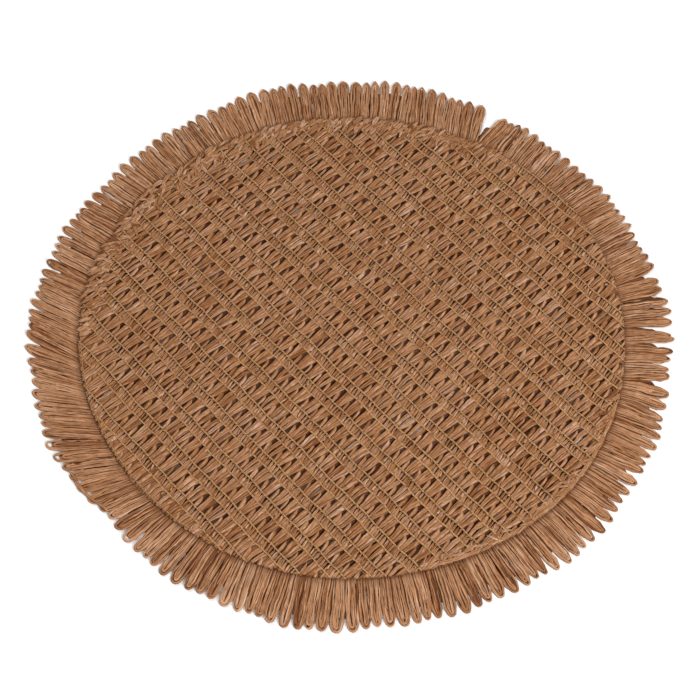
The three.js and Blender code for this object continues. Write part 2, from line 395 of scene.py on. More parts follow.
weave = {
    "rowRepeat": 18.75,       # from one pair of stitched rows to the next
    "rowsEachSide": 10,
    "firstRow": -9.7,         # the tall row nearest the middle
    "pairGap": 6.3,           # between a low row and the tall row of its pair
    "cellWidth": 9.4,         # from one opening to the next along the rows
    "cellShift": 3.0,
    "cellReach": 205,         # cells are laid this far out and then cut to the outline
    "cellJitter": 0.25,
    "rowDrift": [(0.9, 0.9, 0), (0.5, 2.3, 1)],     # of the cells from row to row: size, step, phase
    "cellDrift": (0.5, 0.37),                       # and from cell to cell: size, step
    "steadyFrom": 4.5,        # a strip's side this far from the opening's middle isn't jittered
    "middleHeight": 1.25,     # of the strips above the floor
    "hemLift": 1.0,           # the hem lies over the fringe's roots
    "hemRise": (14, 9),       # the lift starts this far inside the edge and is whole after this much more
    "hemFlat": (0.5, 5),      # share of the strips' height lost at the edge, and the width over which
    "hemRoll": 0.48,          # radius of the fold under it
    "hemTightest": 0.05,      # the least radius inside that roll
    "hemDepth": 8.0,          # turned under
    # where the hem has hardly any holes: middle and half span in degrees, and depth
    "closeHems": [(215, 48, 17), (115, 60, 9)],
    "closeFade": (8, 12),     # where that fades: mm across the hem, degrees along it
}
acrossAngle = math.radians(discEdge["acrossRowsAngle"])
rowNumbers = np.arange(-weave["rowsEachSide"], weave["rowsEachSide"] + 1)
rowPlaces = weave["firstRow"] + weave["rowRepeat"] * rowNumbers


def toMat(along, across):
    x = along * math.sin(acrossAngle) + across * math.cos(acrossAngle)
    y = -along * math.cos(acrossAngle) + across * math.sin(acrossAngle)
    return x, y


def layOnDisc(points):
    # from weave space to the mat, raised towards the edge and turned under past it
    x, y = toMat(points[..., 0], points[..., 1])
    radius, angle = np.hypot(x, y), np.arctan2(y, x)
    roll = weave["hemRoll"]
    riseStart, riseWidth = weave["hemRise"]
    flatShare, flatWidth = weave["hemFlat"]
    past = radius - (edgeRadius(angle) - roll)
    middle = weave["middleHeight"] + weave["hemLift"] * smoothStep((past + riseStart) / riseWidth)
    height = points[..., 2] * (1 - flatShare * smoothStep((past + flatWidth) / flatWidth))
    turn = np.clip(past / roll, 0, np.pi)
    under = np.maximum(past - np.pi * roll, 0)
    swing = np.maximum(roll + height, weave["hemTightest"])
    outside = past > 0
    radius = np.where(outside, radius - past + swing * np.sin(turn) - under, radius)
    height = np.where(outside, middle - roll + swing * np.cos(turn), middle + height)
    return roundMiddle(radius, angle, np.maximum(height, lowest))


def makeCells(rng):
    # for each cell of the weave its tall row's place, its two side lines and its middle along the row
    cells = []
    half = int(weave["cellReach"] / weave["cellWidth"])
    numbers = np.arange(-half, half + 2)
    size, step = weave["cellDrift"]
    jitter = weave["cellJitter"]
    for k, row in enumerate(rowPlaces):
        drift = sum(height * math.sin(k * turn + phase) for height, turn, phase in weave["rowDrift"])
        slow = size * np.sin(numbers * step + k)
        lines = weave["cellShift"] + (numbers - 0.5) * weave["cellWidth"] + drift + slow
        lines = lines + rng.normal(0, jitter, len(lines))
        middles = (lines[:-1] + lines[1:]) / 2 + rng.normal(0, jitter, len(lines) - 1)
        cells.append(np.stack([np.full(len(middles), row), lines[:-1], middles, lines[1:]], -1))
    return np.concatenate(cells)


# how each kind of strip is folded; pinch is what the stitches draw in at its ends and shade the painted shade
# they put there, open and openSpread are painted shade on its top, hold keeps one side straight for longer,
# share is how many cells have it, beyond is mm past the edge
usualStrip = {
    "crease": 0.5, "stations": 5, "section": thinSection, "pinch": (0, 0), "shade": (0, 0), "hold": 1,
    "share": 1, "open": 1.0, "openSpread": 0, "onlyAtHem": False,
}
stripLooks = {
    "broad": {"thick": 0.75, "puff": 0.25, "pinch": (0.08, 0.0), "shade": (0.12, 0.0), "stations": 7,
              "section": broadSection, "beyond": weave["hemDepth"], "jitter": 0.25, "bow": 0.3, "roll": 0.12},
    "packed": {"thick": 0.58, "puff": 0.12, "pinch": (0.1, 0.4), "shade": (0.12, 0.5), "crease": 0.55,
               "section": foldedSection, "beyond": weave["hemDepth"], "jitter": 0.32, "bow": 0.12,
               "roll": 0.26},
    "fork": {"thick": 0.27, "puff": 0.1, "beyond": 0.5, "jitter": 0.3, "bow": 0.15, "roll": 0.2, "hold": 4},
    "fill": {"thick": 0.3, "puff": 0.1, "section": foldedSection, "beyond": -1, "jitter": 0.3, "bow": 0.2,
             "roll": 0.1, "open": 0.6, "openSpread": 0.3, "onlyAtHem": True},
    "fold": {"thick": 0.32, "puff": 0.3, "beyond": -2, "jitter": 0.4, "bow": 0.12, "roll": 0.3, "share": 0.6},
    "back": {"thick": 0.16, "puff": 0.0, "crease": 0.3, "stations": 3, "beyond": -3, "jitter": 0.15,
             "bow": 0.1, "roll": 0.03, "open": 0.1, "openSpread": 0.75},
}
# what all kinds share: how much single strips differ, and how a strip swells between its two ends
stripHabit = {
    "widthSpread": 0.05,
    "liftSpread": 0.1,
    "ripple": 0.04,
    "toneSpread": 0.17,       # from strip to strip
    "endPower": 6,            # how soon pinch and shade fade away from the stitches
    "puffPower": 0.6,
    "puffLevel": 0.8,         # the swelling at which a strip lies at its own height
    "endThickness": 0.62,     # share of the thickness left at the ends
    "foldShadeSpread": (0.6, 3.0),       # how much painted shade lies along the broad ones' middle fold, from dark to hardly any
}

# every strip of one cell: from and to across the rows in mm after the tall row, its two sides at
# the start and at the end in mm from the opening's middle, then height and tone
lowRow = weave["rowRepeat"] - weave["pairGap"]
nextTall = weave["rowRepeat"]
stripColumns = ("piece", "kind", "from", "to", "start", "end", "lift", "tone")
cellStrips = [dict(zip(stripColumns, row)) for row in [
    ("weave_broad_strips", "broad", 0, lowRow, (-4.65, -2.4), (-4.6, -0.75), -0.05, 0.5),
    ("weave_broad_strips", "broad", 0, lowRow, (2.3, 4.7), (0.9, 4.8), 0.1, 0.5),
    ("weave_packed_strips", "packed", lowRow, nextTall, (-4.8, -2.6), (-6.4, -4.6), 0.05, 0.5),
    ("weave_packed_strips", "packed", lowRow, nextTall, (-2.75, -0.8), (-4.1, -2.3), 0.1, 0.55),
    ("weave_pinched_strips", "packed", lowRow, nextTall, (-0.95, 1.25), (-1.85, 0.1), -0.05, 0.5),
    ("weave_pinched_strips", "packed", lowRow, nextTall, (1.1, 4.75), (0.65, 2.4), 0.1, 0.55),
    ("weave_thin_folds", "fork", 0, 8.8, (-0.2, 1.9), (-2.2, -0.9), -0.05, 0.5),
    ("weave_thin_folds", "fill", 0, lowRow, (-2.7, 0.2), (-1.2, 0.3), -0.3, 0.35),
    ("weave_thin_folds", "fill", 0, lowRow, (0.0, 2.7), (0.0, 1.2), -0.35, 0.35),
    # painted highlight: the raised folds in the packed band are given a lighter tone
    ("weave_thin_folds", "fold", lowRow + 2.0, lowRow + 5.2, (0.0, 1.5), (-0.9, 0.4), 0.5, 0.85),
    ("weave_thin_folds", "fold", lowRow + 1.4, lowRow + 4.8, (-4.9, -3.5), (-5.7, -4.5), 0.48, 0.85),
    # the back strips under the holes carry painted shade: dark tops and the darker, greyer paper
    ("weave_back_strips", "back", -0.5, lowRow + 0.5, (-4.2, 0.9), (-3.9, 0.6), -0.9, 0.5),
    ("weave_back_strips", "back", -0.5, lowRow + 0.5, (0.0, 4.6), (-0.3, 4.2), -1.05, 0.5),
    ("weave_back_strips", "back", lowRow - 1, nextTall + 1, (-2.9, 3.4), (-4.1, 2.2), -0.9, 0.5),
    ("weave_back_strips", "back", lowRow - 1, nextTall + 1, (2.3, 7.4), (0.9, 6.1), -1.05, 0.5),
]]


def fitToCell(cells, place):
    # a place in mm from the opening's middle, stretched to each cell's own width
    nominal = weave["cellWidth"] / 2
    _, low, middle, high = cells.T
    scale = np.where(place > 0, high - middle, middle - low) / nominal
    return middle + place * scale


def clipToDisc(start, end, beyond, stations):
    # the part of each straight strip that lies within the edge and its turned hem
    steps, fewest = 40, 4
    shares = np.linspace(0, 1, steps + 1)
    samples = start[:, None] + (end - start)[:, None] * shares[None, :, None]
    inside = pastEdge(*toMat(samples[..., 0], samples[..., 1])) < beyond
    first = np.argmax(inside, 1)
    last = steps - np.argmax(inside[:, ::-1], 1)
    keep = inside.any(1) & (last - first >= fewest)
    low, high = shares[first][keep], shares[last][keep]
    return keep, low[:, None] + (high - low)[:, None] * np.linspace(0, 1, stations)


def hemCloseness(plan):
    # 1 where the hem is doubled most closely, 0 in the open weave
    x, y = toMat(plan[..., 0], plan[..., 1])
    degrees = np.degrees(np.arctan2(y, x))
    past = pastEdge(x, y)
    acrossFade, alongFade = weave["closeFade"]
    closeness = np.zeros_like(past)
    for middle, span, depth in weave["closeHems"]:
        fromMiddle = np.abs((degrees - middle + 180) % 360 - 180)
        deep = smoothStep((past + depth + acrossFade / 2) / acrossFade)
        closeness = np.maximum(closeness, deep * smoothStep((span - fromMiddle) / alongFade))
    return closeness


def atEnds(amounts, share):
    # the first amount at a strip's start and the second at its end, and little between them
    power = stripHabit["endPower"]
    return amounts[0] * (1 - share) ** power + amounts[1] * share ** power


def spanCells(rng, cells, strip, look):
    # both sides of one kind of strip in every cell, its place across the rows, and its share of the way
    steady = weave["steadyFrom"]
    sides = [
        fitToCell(cells, place) + rng.normal(0, look["jitter"], len(cells)) * (abs(place) < steady)
        for place in (*strip["start"], *strip["end"])
    ]
    start = np.stack([(sides[0] + sides[1]) / 2, cells[:, 0] + strip["from"]], -1)
    end = np.stack([(sides[2] + sides[3]) / 2, cells[:, 0] + strip["to"]], -1)
    if look["onlyAtHem"]:
        close = hemCloseness((start + end) / 2) > 0.5
        start, end, cells = start[close], end[close], cells[close]
        sides = [side[close] for side in sides]
    keep, share = clipToDisc(start, end, look["beyond"], look["stations"])
    lowStart, highStart, lowEnd, highEnd = (side[keep][:, None] for side in sides)
    low = lowStart + (lowEnd - lowStart) * share
    high = highStart + (highEnd - highStart) * share ** look["hold"]
    across = cells[keep, 0][:, None] + strip["from"] + (strip["to"] - strip["from"]) * share
    return low, high, across, share


def layStrips(rng, cells, strip):
    look, habit = {**usualStrip, **stripLooks[strip["kind"]]}, stripHabit
    cells = cells[rng.random(len(cells)) < look["share"]]
    low, high, across, share = spanCells(rng, cells, strip, look)
    count = len(share)
    bow = rng.normal(0, look["bow"], (2, count, 1))
    along = (low + high) / 2 + bow[0] * np.sin(np.pi * share) + bow[1] / 2 * np.sin(2 * np.pi * share)
    half = np.abs(high - low) / 2 * (1 + rng.normal(0, habit["widthSpread"], share.shape))
    half = half * (1 - atEnds(look["pinch"], share))
    puff = np.sin(np.pi * np.clip(share, 0.02, 0.98)) ** habit["puffPower"]
    height = strip["lift"] + look["puff"] * (puff - habit["puffLevel"])
    height = height + rng.normal(0, habit["liftSpread"], (count, 1))
    height = height + rng.normal(0, habit["ripple"], share.shape)
    thick = look["thick"] * (habit["endThickness"] + (1 - habit["endThickness"]) * puff)
    roll = np.repeat(rng.normal(0, look["roll"], (count, 1)), look["stations"], 1)
    path = np.stack([along, across, height], -1)
    points = sweep(path, half, thick, look["section"], rng, look["crease"], roll)

    # the underside keeps its own openness, and the top lies in the stitches' shade at its ends
    underRows = 1 - atEnds(look["shade"], share)
    up, openness = look["section"][:, 1], look["section"][:, 2]
    topShade = underRows * (look["open"] + look["openSpread"] * rng.random((count, 1)))
    openness = np.where(up < -0.5, openness, openness * topShade[..., None])
    if strip["kind"] == "broad":
        # painted shade along the broad strips' middle fold, darker in some than in others
        openness[..., broadFold] *= rng.uniform(*habit["foldShadeSpread"], (count, 1))
    tones = np.clip(rng.normal(strip["tone"], habit["toneSpread"], count), 0, 1.2)
    return layOnDisc(points), half.mean(1), tones, openness


def buildWeave():
    rng = np.random.default_rng(7)
    cells = makeCells(rng)
    groups = {}
    for strip in cellStrips:
        groups.setdefault(strip["piece"], []).append(layStrips(rng, cells, strip))
    # the back strips get the paper with painted shade
    papers = {name: shadedBackPaper if "back" in name else weavePaper for name in groups}
    return {name: makeTubes(name, strips, papers[name]) for name, strips in groups.items()}


weavePieces = buildWeave()
print("weave laid")


# stitched rows: a tall row of chain stitches beside a low one

rowLooks = {
    "tall": {"place": 0.0, "step": 1.175, "strands": 2, "swing": 0.24, "radius": 0.33, "flat": 0.6,
             "height": 0.44, "dip": 0.3, "knot": 1.0, "turn": 0.0},
    "low": {"place": -weave["pairGap"], "step": 1.57, "strands": 1, "swing": 0.16, "radius": 0.6,
            "flat": 0.27, "height": 0.3, "dip": 0.16, "knot": 0.25, "turn": 1.5},
}
rowHabit = {
    "wander": [(0.34, 0.11, 1), (0.2, 0.31, 2)],    # sideways: size, how often, and its shift by row
    "knotSpread": (0.3, 1.6),
    "sunkSpread": (0.4, 1.0),
    "knotLift": 0.12,
    "sideSpread": 0.06,
    "liftSpread": 0.03,
    "edgeDrop": (0.4, 4),     # share of the height lost at the edge, and the width over which
    "pastEdge": 0.9,          # where a row ends
    "fewest": 12,             # stations of the shortest row
    "sunkShade": 0.7,
    "tone": (0.6, 0.08),
}
# the slanting ends beside each tall row
barb = {
    "step": 3.1,
    "stepSpread": 0.35,
    "reach": 1.2,
    "reachSpread": (0.6, 1.3),
    "slant": 0.8,
    "slantSpread": (0.3, 1.6),
    "radius": 0.24,
    "flat": 0.8,
    "heights": (0.5, 0.3),    # at its start and its end
    "heightSpread": 0.05,
    "tone": (0.6, 0.12),
    "rowInset": 12,           # rows that lie nearer than this to the edge have none
}


def layRow(rng, across, look):
    habit = rowHabit
    reach = discEdge["radius"] + 6
    along = np.arange(-reach, reach, look["step"])
    stitch = 2 * np.pi * (along - weave["cellShift"]) / (weave["cellWidth"] / 2)
    wander = sum(size * np.sin(along * often + shift * across) for size, often, shift in habit["wander"])
    knot = np.maximum(np.cos(stitch + look["turn"]), 0) ** 3 * rng.uniform(*habit["knotSpread"], len(along))
    sunk = np.maximum(np.cos(stitch * 1.5 + look["turn"]), 0) ** 2
    sunk = sunk * rng.uniform(*habit["sunkSpread"], len(along))
    past = pastEdge(*toMat(along, across))
    inside = np.flatnonzero(past < habit["pastEdge"])
    if len(inside) < habit["fewest"]:
        return []
    cut = slice(inside[0], inside[-1] + 1)
    dropShare, dropWidth = habit["edgeDrop"]
    edgeDrop = 1 - dropShare * smoothStep((past + dropWidth) / dropWidth)
    groups = []
    for strand in range(look["strands"]):
        cross = stitch / 2 + np.pi * strand
        sideways = look["swing"] * np.sin(cross) + wander + rng.normal(0, habit["sideSpread"], len(along))
        lift = look["height"] + look["swing"] * np.cos(cross) / 2
        lift = lift + habit["knotLift"] * knot - look["dip"] * sunk
        lift = (lift + rng.normal(0, habit["liftSpread"], len(along))) * edgeDrop
        radius = look["radius"] * (1 + look["knot"] * knot)
        path = np.stack([along, across + sideways, lift], -1)[None, cut]
        radius = radius[None, cut]
        points = layOnDisc(sweep(path, radius, radius * look["flat"], roundSection, rng))
        openness = roundSection[:, 2] * (1 - habit["sunkShade"] * sunk[cut, None])
        groups.append((points, np.array([look["radius"]]), rng.normal(*habit["tone"], 1), openness))
    return groups


def layBarbs(rng, across):
    # short slanting ends of the chain stitches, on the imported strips' side
    reach = discEdge["radius"] - 2
    start = np.arange(-reach, reach, barb["step"])
    start = start + rng.normal(0, barb["stepSpread"], len(start))
    length = barb["reach"] * rng.uniform(*barb["reachSpread"], len(start))
    slant = barb["slant"] * rng.uniform(*barb["slantSpread"], len(start))
    along = np.stack([start, start - slant], -1)
    place = np.stack([np.full(len(start), across + 0.1), across - length], -1)
    inside = (pastEdge(*toMat(along, place)) < -1).all(1)
    height = np.array(barb["heights"]) + rng.normal(0, barb["heightSpread"], (len(start), 1))
    path = np.stack([along, place, height], -1)[inside]
    radius = barb["radius"] * np.ones(path.shape[:2])
    points = layOnDisc(sweep(path, radius, radius * barb["flat"], roundSection, rng))
    return points, radius.mean(1), rng.normal(*barb["tone"], len(path)), roundSection[:, 2]


def buildRows():
    rng = np.random.default_rng(11)
    groups = []
    for row in rowPlaces:
        for look in rowLooks.values():
            groups += layRow(rng, row + look["place"], look)
        if abs(row) < discEdge["radius"] - barb["rowInset"]:
            groups.append(layBarbs(rng, row))
    return makeTubes("stitched_rows", groups, stitchThread)


stitchedRows = buildRows()
print("rows stitched")


# looped fringe on its heading tape

fringe = {
    "loops": 168,
    "lengthSpread": 1.9,
    "leanSpread": 3.8,
    "rootInset": 6.5,         # hidden under the hem
    "rootHeight": 0.42,
    "widest": 4.6,            # half of a loop's width
    "narrowest": 3.1,
    "widerShare": 0.4,        # how far a loop spreads into the wider of the two gaps beside it
    "fill": 0.98,             # how much of its room a loop takes
    "legStations": 11,
    "arcStations": 5,
    "sway": [(0.34, 0.17), (0.14, 0.5)],      # of a strand to its side: mm, and how often
    "rise": (1, 9),           # a strand starts to rise this far inside the hem and takes this long
    "liftSpread": (0.12, 0.16, -0.1, 0.5),    # of whole loops: mean, spread, least and most
    "skewSpread": (0.15, 0.6, -0.9, 0.9),     # of their two legs, the same way
    "openEyes": (165, 232, 0.12),             # from and to in degrees, and the share of loops with an eye
    "eyeShort": (1, 3.5),     # how much shorter their inner strands are
    "pointedSpread": 0.2,
}

# how far the tips reach from the middle and how far they lean round the mat: angle, reach, lean
fringeCourse = np.array([
    (0, 209.5, 0), (14, 208.0, 10), (35, 207.0, 3), (54, 208.0, 4), (61, 206.0, -6), (62.6, 208.5, 15),
    (75, 211.5, 8), (90, 209.5, 0), (108, 211.0, -3), (133, 206.8, -2), (155, 208.5, -5),
    (175, 211.8, -22), (190, 211.3, -33), (212, 209.5, -25), (225, 204.5, -15), (233, 206.5, -3),
    (245, 209.8, 0), (267, 211.5, 0), (287, 208.0, 0), (310, 210.3, 0), (335, 208.5, -2),
    (348, 207.5, -5), (350, 207.5, 8), (360, 209.5, 0),
])
# how a loop ends: angle, length over which it narrows, the share of its width left there, how pointed
tipCourse = np.array([
    (0, 5.5, 0.58, 0.4), (40, 3.8, 0.7, 0.7), (80, 3.4, 0.74, 1.05), (130, 3.6, 0.72, 0.7),
    (180, 4.3, 0.67, 0.3), (230, 4.3, 0.69, 0.0), (280, 4.8, 0.66, 0.0), (300, 6.4, 0.56, 0.15),
    (345, 6.4, 0.56, 0.2), (360, 5.5, 0.58, 0.4),
])
# small partings between two loops: angle and how far each side leans away, in degrees
fringePartings = [(2.5, 3.5), (8.5, 3.5), (13, 4), (330, 2.5), (345, 3), (353.5, 3), (357.5, 2.5)]
partingWidth = 5              # degrees over which the lean fades beside a parting


def readCourse(course, degrees):
    # every column after the angle, at the given angles
    return [np.interp(degrees, course[:, 0], values) for values in course[:, 1:].T]


def uneven(index, seed):
    # from -1 to 1, with no visible order from one loop to the next
    return np.sin(index * 12.9898 + seed * 4.1414) * np.cos(index * 7.233 + seed)


def loopCourse():
    i = np.arange(fringe["loops"])
    degrees = (i + 0.5) / fringe["loops"] * 360
    reach, lean = readCourse(fringeCourse, degrees)
    lean = lean + fringe["leanSpread"] * uneven(i, 2)
    for place, spread in fringePartings:
        away = degrees - place
        lean = lean + np.sign(away) * spread * np.exp(-np.abs(away) / partingWidth)
    angle = np.radians(degrees)
    reach = reach + fringe["lengthSpread"] * uneven(i, 1)
    return angle, np.radians(lean), reach - edgeRadius(angle)


def loopLines(angle, lean):
    # angle and room beside each loop's middle line, on a grid of distances from the hem
    distance = np.linspace(-8, 42, 51)           # one for each millimetre
    radius = edgeRadius(angle)[:, None] + distance
    turned = angle[:, None] + np.tan(lean)[:, None] * np.maximum(distance, 0) / radius
    gap = np.diff(np.concatenate([turned, turned[:1] + 2 * np.pi]), axis=0)
    narrow, wide = np.sort([gap, np.roll(gap, 1, 0)], axis=0)
    wider = fringe["widerShare"]
    room = ((1 - wider) * narrow + wider * wide) / 2 * radius
    return distance, turned, np.clip(room, fringe["narrowest"], fringe["widest"])


def readGrid(grid, values, distance):
    # values of every loop's own row at its own distances
    place = np.clip((distance - grid[0]) / (grid[1] - grid[0]), 0, len(grid) - 1.001)
    low = place.astype(int)
    part = place - low
    rows = np.arange(len(values))[:, None]
    return values[rows, low] * (1 - part) + values[rows, low + 1] * part


# share and half are parts of the loop's half width, and shift and grow say what a skew adds to them on
# one leg and takes from them on the other; short is how far a strand ends before its loop does, open
# is the painted light left on it (the pad and the under strands are painted deep in shade), tipLight how
# much more is left at its tip, and outline the painted shade on a strand's outer side
usualStrand = {
    "share": 0.0, "short": 0.0, "shortSpread": 0.0, "shift": 0, "grow": 0, "tipGrow": -0.15, "single": False,
    "section": strandSection, "open": 1.0, "tipLight": 0, "outline": None,
}
strandLooks = {
    "outer": {"share": 0.75, "half": 0.215, "shift": -0.126, "grow": 0.55, "height": 0.8, "thick": 0.66,
              "tipGrow": 0.15, "outline": 0.03},
    "inner": {"share": 0.32, "half": 0.175, "shift": -0.2, "grow": -0.3, "short": 1.1, "shortSpread": 1.6,
              "height": 1.0, "thick": 0.55, "tipGrow": 0.45},
    "core": {"half": 0.15, "short": 1.3, "shortSpread": 4.0, "height": 0.95, "thick": 0.5, "single": True,
             "spread": 0.16},
    "fold": {"half": 0.12, "short": 1.6, "shortSpread": 9.0, "height": 1.45, "thick": 0.42, "single": True,
             "spread": 0.4},
    "pad": {"half": 0.7, "short": 0.5, "shortSpread": 0.6, "height": 0.5, "thick": 0.24, "single": True,
            "spread": 0.04, "section": thinSection, "open": 0.22, "tipLight": 0.4},
    "under": {"share": 1.05, "half": 0.45, "short": 5.0, "shortSpread": 2.5, "height": 0.3, "thick": 0.22,
              "single": True, "spread": 0.1, "section": thinSection, "open": 0.25},
}
# how much single strands differ, and how dark the painted shade in the slits between them is
strandHabit = {
    "shareSpread": 0.04,
    "heightSpread": 0.05,
    "widthSpread": 0.1,
    "rollSpread": 0.3,
    "toneSpread": 0.22,
    "crease": 0.4,
    "leastHalf": 0.06,        # of a strand's width, in mm
    "legTip": 7,              # how near its end a strand's leg starts to close round the tip
    "singleTip": 3,           # and a single strand
    "swayFrom": 10,           # a strand sways freely from here on
    "tipSway": 0.3,           # share of the sway left at the tip
    "rootThickness": 0.5,
    "tipThickness": 1.25,
    "rootShare": (0.78, 16),  # outer strands start this narrow, for dark wedges at the roots, up to here
    "slit": (0.03, 0.4, 0.15),      # light in a slit, how much more where it opens, and how often
    "tipSlit": (0.7, 0.9),    # slits close at the tip: how light it is there, and how nearly they close
    "tipOutline": 0.3,        # and how much lighter the outline is there
    "rootLight": (0.55, 5),   # light left at the root, and the length over which it grows
}


def strandCourse(rng, look, straight, tip, pointed, skew, halfWidth):
    # along one strand of every loop: distance from the hem, place beside the loop's middle line, which
    # leg it is on, and how near the tip; it goes out along one side, round the tip and back, or only out
    count, legs = len(straight), fringe["legStations"]
    out = -fringe["rootInset"] + (straight + fringe["rootInset"]) * np.linspace(0, 1, legs)
    if look["single"]:
        share = (look["share"] + rng.normal(0, look["spread"], (count, 1))) * np.ones(legs)
        reach = strandHabit["singleTip"]
        return out, share * halfWidth(out), np.zeros(legs), smoothStep((out - straight + reach) / reach)
    turn = np.linspace(0, np.pi, fringe["arcStations"] + 2)[1:-1]
    # a half circle at 0, which pointed draws out to a tip
    peak = np.sin(turn) + pointed * (1 - np.abs(np.cos(turn)) ** 1.25 - 0.5 * np.sin(turn))
    distance = np.concatenate([out, straight + tip * peak, out[:, ::-1]], 1)
    side = np.concatenate([np.ones(legs), np.cos(turn), -np.ones(legs)])
    share = look["share"] + look["shift"] * skew[:, None] * side
    share = share + rng.normal(0, strandHabit["shareSpread"], (count, 1))
    offset = side * share * halfWidth(np.minimum(distance, straight))
    reach = strandHabit["legTip"]
    return distance, offset, side, smoothStep((distance - straight + reach) / reach)


def strandOpenness(look, distance, close, phase):
    # painted shade in the slits between the strands comes and goes and closes at the tip; the roots get a
    # painted shadow of the hem
    dark, spread, often = strandHabit["slit"]
    tipLight, tipClose = strandHabit["tipSlit"]
    rootLight, rootWidth = strandHabit["rootLight"]
    slit = dark + spread * smoothStep(0.4 + np.sin(distance * often + 2 * phase))
    slit = slit + (tipLight - slit) * tipClose * close
    atSides = np.abs(look["section"][:, 0]) > 0.9
    openness = np.where(atSides, slit[..., None], look["section"][:, 2])
    if look["outline"]:
        openness[..., 0] = look["outline"] + strandHabit["tipOutline"] * close
    lit = look["open"] + look["tipLight"] * close
    lit = lit * (rootLight + (1 - rootLight) * smoothStep(distance / rootWidth))
    return openness * lit[..., None]


def layStrand(rng, kind, angle, lean, length, loopLift, skew, tips):
    look, habit = {**usualStrand, **strandLooks[kind]}, strandHabit
    count = len(angle)
    grid, turned, rooms = loopLines(angle, lean)
    length = length - look["short"] - look["shortSpread"] * rng.random(count)
    taper, tipShare, pointed = tips

    def halfWidth(distance):
        narrowing = smoothStep((distance - (length[:, None] - taper)) / (taper - 1))
        return readGrid(grid, rooms, distance) * fringe["fill"] * (1 - (1 - tipShare) * narrowing)

    tip = fringe["widest"] * tipShare * look["share"]
    straight = length[:, None] - tip
    distance, offset, side, close = strandCourse(rng, look, straight, tip, pointed, skew, halfWidth)
    phases = (rng.random((count, 2)) * 2 * np.pi).T[..., None]
    waves = zip(fringe["sway"], phases)
    sway = sum(size * np.sin(distance * often + phase) for (size, often), phase in waves)
    sway = sway * smoothStep(distance / habit["swayFrom"]) * (1 - (1 - habit["tipSway"]) * close)
    radius = edgeRadius(angle)[:, None] + distance
    around = readGrid(grid, turned, distance) + (offset + sway) / radius
    riseStart, riseWidth = fringe["rise"]
    free = smoothStep((distance + riseStart) / riseWidth)
    height = fringe["rootHeight"] + (look["height"] - fringe["rootHeight"] + loopLift[:, None]) * free
    height = height + rng.normal(0, habit["heightSpread"], height.shape) * free
    half = look["half"] * halfWidth(distance) * (1 + rng.normal(0, habit["widthSpread"], distance.shape))
    half = half * (1 + look["grow"] * skew[:, None] * side)
    half = half * (1 + look["tipGrow"] * close) + habit["leastHalf"]
    if look["outline"]:
        rootShare, rootWidth = habit["rootShare"]
        half = half * (rootShare + (1 - rootShare) * smoothStep(distance / rootWidth))
    rootThick, tipThick = habit["rootThickness"], habit["tipThickness"]
    thick = look["thick"] * (rootThick + (1 - rootThick) * free) * (1 + (tipThick - 1) * close)
    roll = rng.normal(0, habit["rollSpread"], (count, 1)) * free
    path = roundMiddle(radius, around, height)
    points = sweep(path, half, thick, look["section"], rng, habit["crease"], roll)
    points[..., 2] = np.maximum(points[..., 2], lowest)
    openness = strandOpenness(look, distance, close, phases[0])
    return points, half.mean(1), np.clip(rng.normal(0.5, habit["toneSpread"], count), 0, 1.0), openness


# strands that have come loose and lie across the tips
looseStrands = {
    # from and to in degrees, how far out they lie there, half width
    "places": [((215.0, 223.5), (207.0, 202.0), 0.75), ((213.2, 219.0), (206.5, 204.0), 0.6)],
    "stations": 14,
    "height": 2.1,
    "inAndOut": (0.5, 40),    # mm, and how often round the mat
    "upAndDown": (0.2, 65),
    "flat": 0.6,
    "crease": 0.3,
    "tone": 0.4,
}


def layLooseStrand(rng, span, reach, halfWidth):
    look, stations = looseStrands, looseStrands["stations"]
    turn = np.radians(np.linspace(*span, stations))
    (inAndOut, oftenOut), (upAndDown, oftenUp) = look["inAndOut"], look["upAndDown"]
    radius = np.linspace(*reach, stations) + inAndOut * np.sin(turn * oftenOut)
    path = roundMiddle(radius, turn, look["height"] + upAndDown * np.sin(turn * oftenUp))[None]
    half = np.full((1, stations), halfWidth)
    points = sweep(path, half, half * look["flat"], thinSection, rng, look["crease"])
    return points, half.mean(1), np.array([look["tone"]]), thinSection[:, 2]


def spreadOver(rng, spread, count):
    mean, deviation, least, most = spread
    return rng.normal(mean, deviation, count).clip(least, most)


def buildFringe():
    rng = np.random.default_rng(23)
    angle, lean, length = loopCourse()
    degrees = np.degrees(angle)
    loopLift = spreadOver(rng, fringe["liftSpread"], len(angle))
    eyesFrom, eyesTo, eyeShare = fringe["openEyes"]
    openEye = rng.random(len(angle)) < np.where((degrees > eyesFrom) & (degrees < eyesTo), eyeShare, 0.0)
    innerLength = length - openEye * rng.uniform(*fringe["eyeShort"], len(angle))
    skew = spreadOver(rng, fringe["skewSpread"], len(angle))
    taper, tipShare, pointed = readCourse(tipCourse, degrees)
    pointed = (pointed + rng.normal(0, fringe["pointedSpread"], len(angle))).clip(0, 1.3)
    tips = [values[:, None] for values in (taper, tipShare, pointed)]
    outer = layStrand(rng, "outer", angle, lean, length, loopLift, skew, tips)
    inside = [
        layStrand(rng, kind, angle, lean, innerLength, loopLift, skew, tips)
        for kind in ("inner", "core", "fold", "pad", "under")
    ]
    inside += [layLooseStrand(rng, *place) for place in looseStrands["places"]]
    outerPiece = makeTubes("fringe_outer_strands", [outer], fringePaper)
    innerPiece = makeTubes("fringe_inner_strands", inside, fringePaper)
    return outerPiece, innerPiece


outerStrands, innerStrands = buildFringe()
print("fringe laid")


# what goes round the edge: heading tape, hem stitches and strip ends that stand out

